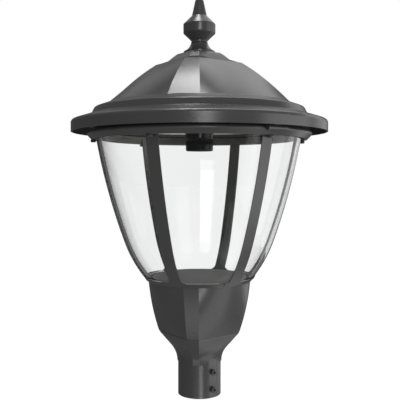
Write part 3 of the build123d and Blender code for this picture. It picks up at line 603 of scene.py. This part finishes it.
def end_tree(tree, given, result, geometry):
    """Realize Instances and Set Material, which every tree ends in."""
    real = tree.nodes.new("GeometryNodeRealizeInstances")
    painted = tree.nodes.new("GeometryNodeSetMaterial")
    link(tree, geometry, real.inputs["Geometry"])
    link(tree, real.outputs["Geometry"], painted.inputs["Geometry"])
    link(tree, given.outputs["Finish"], painted.inputs["Material"])
    link(tree, painted.outputs["Geometry"], result.inputs["Geometry"])


def run_tree(piece, tree, values):
    """The tree's result on a piece as a plain mesh, with the modifier removed."""
    modifier = piece.modifiers.new(tree.name, "NODES")
    modifier.node_group = tree
    for item in tree.interface.items_tree:
        if item.item_type == "SOCKET" and item.in_out == "INPUT" and item.name in values:
            modifier[item.identifier] = values[item.name]
    bpy.context.view_layer.update()
    evaluated = piece.evaluated_get(bpy.context.evaluated_depsgraph_get())
    mesh = bpy.data.meshes.new_from_object(evaluated)
    piece.modifiers.remove(modifier)
    old_mesh = piece.data
    piece.data = mesh
    bpy.data.meshes.remove(old_mesh)
    return piece


def make_circle_tree():
    tree, given, result = new_geometry_tree(
        "repeat_round_circle",
        [
            ("Count", "NodeSocketInt", 6),
            ("Circle Radius", "NodeSocketFloat", 0.1),
            ("First Angle", "NodeSocketFloat", 0.0),
            ("Finish", "NodeSocketMaterial", None),
        ],
    )
    points = tree.nodes.new("GeometryNodePoints")
    link(tree, given.outputs["Count"], points.inputs["Count"])
    index = tree.nodes.new("GeometryNodeInputIndex")
    share = maths(tree, "DIVIDE", index.outputs["Index"], given.outputs["Count"])
    angle = maths(tree, "MULTIPLY_ADD", share, 2 * math.pi, given.outputs["First Angle"])
    across = maths(tree, "MULTIPLY", maths(tree, "COSINE", angle), given.outputs["Circle Radius"])
    along = maths(tree, "MULTIPLY", maths(tree, "SINE", angle), given.outputs["Circle Radius"])
    place = tree.nodes.new("ShaderNodeCombineXYZ")
    link(tree, across, place.inputs["X"])
    link(tree, along, place.inputs["Y"])
    link(tree, place.outputs["Vector"], points.inputs["Position"])
    copies = tree.nodes.new("GeometryNodeInstanceOnPoints")
    link(tree, points.outputs["Points"], copies.inputs["Points"])
    link(tree, given.outputs["Geometry"], copies.inputs["Instance"])
    end_tree(tree, given, result, copies.outputs["Instances"])
    return tree


circle_tree = make_circle_tree()
print("tree:", circle_tree.name, len(circle_tree.nodes), "nodes")

# %% Helper: turn a cap screw
ScrewSize = namedtuple("ScrewSize", "radius length head_radius head_length")
hex_share = 0.5
hex_depth_share = 0.55
head_round_share = 0.3
bevel_share = 0.06
screw_segments = 36


def cap_screw(name, size):
    """A cap screw on the Z axis with its head's face at 0 and its shank up."""
    across = size.head_radius * hex_share * math.cos(math.radians(30))

    def hexagon(angle):
        return across / math.cos((angle + math.pi / 6) % (math.pi / 3) - math.pi / 6)

    bevel = size.head_radius * bevel_share
    edge = size.head_length * head_round_share
    bottom = -size.head_length
    floor = bottom * (1 - hex_depth_share)
    profile = [(0.0, floor), (hexagon, floor), (hexagon, bottom + bevel)]
    profile += [(lambda angle: hexagon(angle) + bevel, bottom)]
    profile += arc_points((size.head_radius - edge, bottom + edge), edge, 270, 360, 5)
    profile += [(size.head_radius, -bevel), (size.head_radius - bevel, 0.0), (size.radius, 0.0)]
    profile += [(size.radius, size.length - bevel), (size.radius - bevel, size.length), (0.0, size.length)]
    return turned(name, profile, screw_segments, sharp_angle=45.0)


# %% Helpers: place a group of screws
quarter = math.pi / 2
upside_down = Matrix.Rotation(math.pi, 4, "X")
inwards = Matrix.Rotation(-quarter, 4, "X")


def screw_group(node, body, size, count, circle, first_angle, place, turn=None):
    """Screws round a circle, turned as they stand on the lantern and moved to their place."""
    piece = cap_screw("cap_" + node, size)
    values = {
        "Count": count,
        "Circle Radius": circle,
        "First Angle": first_angle,
        "Finish": finishes[slot_of[node]],
    }
    run_tree(piece, circle_tree, values)
    if turn:
        piece.data.transform(turn)
    piece.data.transform(Matrix.Translation(place))
    keep(piece, body, node)


def upright_group(node, body, size, count, first_angle, axis=0, head_up=False):
    """Upright screws, whose circle and level come from the CAD node's box, along an axis they reach."""
    low, high = (Vector(corner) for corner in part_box(node))
    middle = (low + high) / 2
    reach = abs((math.cos(first_angle), math.sin(first_angle))[axis])
    circle = ((high[axis] - low[axis]) / 2 - size.head_radius) / reach
    face = high.z - size.head_length if head_up else low.z + size.head_length
    turn = upside_down if head_up else None
    screw_group(node, body, size, count, circle, first_angle, (middle.x, middle.y, face), turn)


def side_pair(node, body, size):
    """Two screws, one above the other, that point inwards from the front."""
    low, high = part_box(node)
    circle = (high[2] - low[2]) / 2 - size.head_radius
    place = (0.0, low[1] + size.head_length, (low[2] + high[2]) / 2)
    screw_group(node, body, size, 2, circle, quarter, place, inwards)


# %% Drive the screws
clamp_size = ScrewSize(2.5 * MM, 20.2 * MM, 4.6 * MM, 4.6 * MM)
short_size = ScrewSize(2.0 * MM, 13.0 * MM, 3.8 * MM, 2.4 * MM)
small_size = ScrewSize(2.0 * MM, 14.0 * MM, 3.8 * MM, 2.4 * MM)
fine_size = ScrewSize(1.5 * MM, 6.0 * MM, 2.8 * MM, 1.6 * MM)
leaf_size = ScrewSize(1.5 * MM, 8.0 * MM, 2.8 * MM, 1.6 * MM)
post_size = ScrewSize(3.0 * MM, 8.0 * MM, 5.0 * MM, 6.0 * MM)

upright_group("clamp_screws", "lantern_body", clamp_size, 6, -quarter, axis=1)
upright_group("cage_screws", "lantern_body", short_size, 4, quarter / 2, head_up=True)
upright_group("reflector_screws", "roof_assembly", small_size, 4, quarter / 2)
upright_group("bracket_screws", "roof_assembly", small_size, 2, 0.0)
upright_group("holder_screws", "roof_assembly", short_size, 2, 0.0, head_up=True)
upright_group("hinge_screws", "lantern_body", fine_size, 2, 0.0, head_up=True)
upright_group("leaf_screws", "roof_assembly", leaf_size, 2, 0.0)
side_pair("post_screws", "lantern_body", post_size)

# %% [markdown]
# ## The hammered reflector
# The reflector is a shallow pan of bright sheet that throws the lamp's light down. Hammer marks break up
# its glare. They could be bump in the material, but a bump has no depth at the rim, where the pan is seen
# edge on. So the pan is turned with a fine mesh, and a Geometry Nodes tree presses a dimple round each
# point of a random pattern. The rim is drawn down a little past the frame's, because a strip of it shows
# under the roof.

# %% Geometry Nodes: hammer marks
facing_down = -0.3


def make_hammer_tree():
    tree, given, result = new_geometry_tree(
        "hammer_marks",
        [
            ("Dimple Spacing", "NodeSocketFloat", 0.008),
            ("Dimple Depth", "NodeSocketFloat", 0.0005),
            ("Seed", "NodeSocketFloat", 3.0),
            ("Finish", "NodeSocketMaterial", None),
        ],
    )
    pattern = tree.nodes.new("ShaderNodeTexVoronoi")
    pattern.voronoi_dimensions = "4D"
    link(tree, given.outputs["Seed"], pattern.inputs["W"])
    link(tree, maths(tree, "DIVIDE", 1.0, given.outputs["Dimple Spacing"]), pattern.inputs["Scale"])
    bowl = maths(tree, "POWER", pattern.outputs["Distance"], 2.0)
    pressed = maths(tree, "SUBTRACT", bowl, 1.0)
    reach = maths(tree, "MULTIPLY", pressed, given.outputs["Dimple Depth"])
    normal = tree.nodes.new("GeometryNodeInputNormal")
    parts = tree.nodes.new("ShaderNodeSeparateXYZ")
    link(tree, normal.outputs["Normal"], parts.inputs[0])
    offset = tree.nodes.new("ShaderNodeVectorMath")
    offset.operation = "SCALE"
    link(tree, normal.outputs["Normal"], offset.inputs[0])
    link(tree, reach, offset.inputs["Scale"])
    moved = tree.nodes.new("GeometryNodeSetPosition")
    link(tree, given.outputs["Geometry"], moved.inputs["Geometry"])
    link(tree, maths(tree, "LESS_THAN", parts.outputs["Z"], facing_down), moved.inputs["Selection"])
    link(tree, offset.outputs[0], moved.inputs["Offset"])
    end_tree(tree, given, result, moved.outputs["Geometry"])
    return tree


hammer_tree = make_hammer_tree()
print("tree:", hammer_tree.name, len(hammer_tree.nodes), "nodes")

# %% Hammer the reflector
pan_sheet = 1.2 * MM
pan_rim_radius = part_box("reflector")[1][0] - pan_sheet
pan_flat_radius = pan_rim_radius - 17.0 * MM
pan_hole_radius = 27.0 * MM
pan_rim_drop = 1.4 * MM
pan_step = 2.2 * MM
pan_segments = 420
dimple_spacing = 9.0 * MM
dimple_depth = 0.55 * MM
dimple_seed = 3.0


def divided(start, end):
    """Points from a start up to, but without, an end, about a step apart."""
    count = max(1, round(math.dist(start, end) / pan_step))
    return [tuple(a + (b - a) * index / count for a, b in zip(start, end)) for index in range(count)]


def make_reflector():
    low, high = heights("reflector")
    rim_foot = low - pan_rim_drop
    corners = [
        (pan_rim_radius, rim_foot),
        (pan_flat_radius, high - pan_sheet),
        (pan_hole_radius, high - pan_sheet),
    ]
    profile = divided(corners[0], corners[1]) + divided(corners[1], corners[2])
    profile += [corners[2], (pan_hole_radius, high)]
    profile += [(pan_flat_radius + pan_sheet / 2, high), (pan_rim_radius + pan_sheet, rim_foot)]
    piece = turned("hammered_pan", profile, pan_segments, sharp_angle=60.0)
    values = {
        "Dimple Spacing": dimple_spacing,
        "Dimple Depth": dimple_depth,
        "Seed": dimple_seed,
        "Finish": finishes[slot_of["reflector"]],
    }
    return run_tree(piece, hammer_tree, values)


keep(make_reflector(), "roof_assembly", "reflector")

# %% [markdown]
# ## The cast base
# Below its widest part the casting turns in along a crisp crease, and then sweeps down to the tube in a
# hollow curve. The frame has the same facets with a softer turn. Modelling it anew would lose them, so a
# copy of the frame's mesh is merged, and each ring of its skin below the crease is drawn in to the real
# outline. A fine line is cut along the crease, where the two halves of the casting's mould met. Merged
# triangles would shade as one soft lump, so the copy keeps the frame's own normals and turns them too.

# %% Draw in the flare
crease_groove = 1.3 * MM
crease_half_width = 1.1 * MM
skin_radius = 38.05 * MM
tiny = 0.01 * MM
tube_point = (39.3 * MM, 58.0 * MM)
crease_point = (72.1 * MM, 110.0 * MM)
frame_turn = (52.3 * MM, 84.5 * MM)
frame_hollow_radius = 46.0 * MM
frame_round_radius = 134.0 * MM
cast_turn = (50.4 * MM, 85.7 * MM)
cast_hollow_radius = 43.6 * MM


def bent_radius(height, low, high, bend):
    """The radius at a height on an arc between two points. The arc is hollow where its bend is negative."""
    chord = Vector(high) - Vector(low)
    normal = Vector((-chord.y, chord.x)).normalized() * math.copysign(1.0, bend)
    reach = math.sqrt(bend**2 - (chord.length / 2) ** 2)
    centre = (Vector(low) + Vector(high)) / 2 + normal * reach
    side = math.sqrt(bend**2 - (height - centre.y) ** 2)
    return centre.x + math.copysign(side, bend)


def frame_outline(height):
    if height < frame_turn[1]:
        return bent_radius(height, tube_point, frame_turn, -frame_hollow_radius)
    return bent_radius(height, frame_turn, crease_point, frame_round_radius)


def cast_outline(height):
    if height < cast_turn[1]:
        return bent_radius(height, tube_point, cast_turn, -cast_hollow_radius)
    share = (height - cast_turn[1]) / (crease_point[1] - cast_turn[1])
    return cast_turn[0] + share * (crease_point[0] - cast_turn[0])


def skin_share(height):
    """How far the skin is drawn in at a height, as a share of its distance from the axis."""
    inside = min(max(height, tube_point[1] + tiny), crease_point[1] - tiny)
    return cast_outline(inside) / frame_outline(inside)


def drawn_normal(normal, place):
    """The normal of the drawn skin, worked out from the frame's own normal at the same point."""
    height = min(max(place.z, tube_point[1] + 2 * tiny), crease_point[1] - 2 * tiny)
    share = skin_share(height)
    slope = (skin_share(height + tiny) - skin_share(height - tiny)) / (2 * tiny)
    rise = normal.z - slope / share * place.xy.dot(normal.xy)
    return Vector((normal.x / share, normal.y / share, rise)).normalized()


def merged_copy(node):
    """A node's mesh as a bmesh with its doubles merged, and its own normals kept in a layer."""
    source = nodes[node].data
    shape = bmesh.new()
    shape.from_mesh(source)
    layer = shape.loops.layers.float_vector.new("true_normal")
    corners = iter(source.corner_normals)
    for face in shape.faces:
        for loop in face.loops:
            loop[layer] = next(corners).vector
    bmesh.ops.remove_doubles(shape, verts=shape.verts, dist=1e-6)
    return shape


def normal_layer(shape):
    return shape.loops.layers.float_vector["true_normal"]


def finish_with_normals(name, shape):
    """A mesh object from a bmesh that keeps its normals in a layer."""
    mesh = bpy.data.meshes.new(name)
    shape.to_mesh(mesh)
    shape.free()
    kept = mesh.attributes["true_normal"]
    normals = [tuple(item.vector) for item in kept.data]
    mesh.attributes.remove(kept)
    mesh.normals_split_custom_set(normals)
    piece = bpy.data.objects.new(name, mesh)
    bpy.context.scene.collection.objects.link(piece)
    return piece


def cut_groove(shape, height, half_width, depth, skin):
    """A fine V groove round the outside. What is nearer to the axis than the skin stays as it is.

    Faces in the groove get flat normals, apart from slivers, which have none and keep their own.
    """
    for level in (height - half_width, height, height + half_width):
        geometry = shape.verts[:] + shape.edges[:] + shape.faces[:]
        bmesh.ops.bisect_plane(shape, geom=geometry, plane_co=(0, 0, level), plane_no=(0, 0, 1), dist=1e-7)
    for vert in shape.verts:
        reach = vert.co.xy.length
        if reach > skin and abs(vert.co.z - height) < tiny:
            vert.co.xy = vert.co.xy * (1 - depth / reach)
    layer = normal_layer(shape)
    for face in shape.faces:
        near = all(abs(vert.co.z - height) < half_width + tiny for vert in face.verts)
        if not near or face.calc_center_median().xy.length < skin - depth:
            continue
        face.normal_update()
        if face.normal.length > 0.5:
            for loop in face.loops:
                loop[layer] = face.normal


def make_base():
    shape = merged_copy("base_housing")
    layer = normal_layer(shape)
    low = tube_point[1]
    high = crease_point[1]
    for face in shape.faces:
        reach = max(vert.co.xy.length for vert in face.verts)
        if reach > skin_radius and low < face.calc_center_median().z < high:
            for loop in face.loops:
                loop[layer] = drawn_normal(Vector(loop[layer]), loop.vert.co)
    for vert in shape.verts:
        if vert.co.xy.length > skin_radius and low < vert.co.z < high - tiny:
            vert.co.xy = vert.co.xy * skin_share(vert.co.z)
    cut_groove(shape, high, crease_half_width, crease_groove, skin_radius)
    return finish_with_normals("cast_base", shape)


keep(make_base(), "lantern_body", "base_housing")

# %% [markdown]
# ## The roof's step and the collar
# Seen from below, the step between the brim and the dome sits a little lower than in the frame. The same
# trick works here: a merged copy of the roof is pressed down by a few millimetres there, with its inner
# skin, so the wall stays whole. The press fades out smoothly up the dome, and the normals follow it. The
# bosses inside stay as they are, because screws go through them. The collar under the finial gets the
# fine groove that divides it from the finial's neck.

# %% Press the roof's step down
press_depth = 3.5 * MM
press_start = 474.5 * MM
press_full = 484.0 * MM
press_fade = 517.8 * MM
press_end = 586.0 * MM
boss_reach = 152.0 * MM
boss_level = 505.0 * MM


def smooth_step(value, low, high):
    """A smooth rise from 0 to 1 between two values, and its slope."""
    share = min(max((value - low) / (high - low), 0.0), 1.0)
    return share * share * (3 - 2 * share), 6 * share * (1 - share) / (high - low)


def press_at(height):
    """How far a point is pressed down, and how much the skin is stretched there."""
    rise, rise_slope = smooth_step(height, press_start, press_full)
    fall, fall_slope = smooth_step(height, press_fade, press_end)
    return press_depth * (rise - fall), 1 - press_depth * (rise_slope - fall_slope)


def is_skin(place):
    """True for the roof's shell, and false for the bosses inside it."""
    return place.z > boss_level or place.xy.length > boss_reach


def make_roof():
    shape = merged_copy("roof")
    layer = normal_layer(shape)
    for face in shape.faces:
        if not is_skin(face.calc_center_median()):
            continue
        for loop in face.loops:
            normal = Vector(loop[layer])
            stretch = press_at(loop.vert.co.z)[1]
            loop[layer] = Vector((normal.x, normal.y, normal.z / stretch)).normalized()
    for vert in shape.verts:
        if is_skin(vert.co):
            vert.co.z -= press_at(vert.co.z)[0]
    return finish_with_normals("cast_roof", shape)


keep(make_roof(), "roof_assembly", "roof")

# %% Cut the collar's groove
collar_groove_height = 624.2 * MM
collar_groove_half = 0.9 * MM
collar_groove_depth = 2.0 * MM
collar_skin = 10.0 * MM


def make_collar():
    shape = merged_copy("finial_collar")
    cut_groove(shape, collar_groove_height, collar_groove_half, collar_groove_depth, collar_skin)
    return finish_with_normals("turned_collar", shape)


keep(make_collar(), "roof_assembly", "finial_collar")
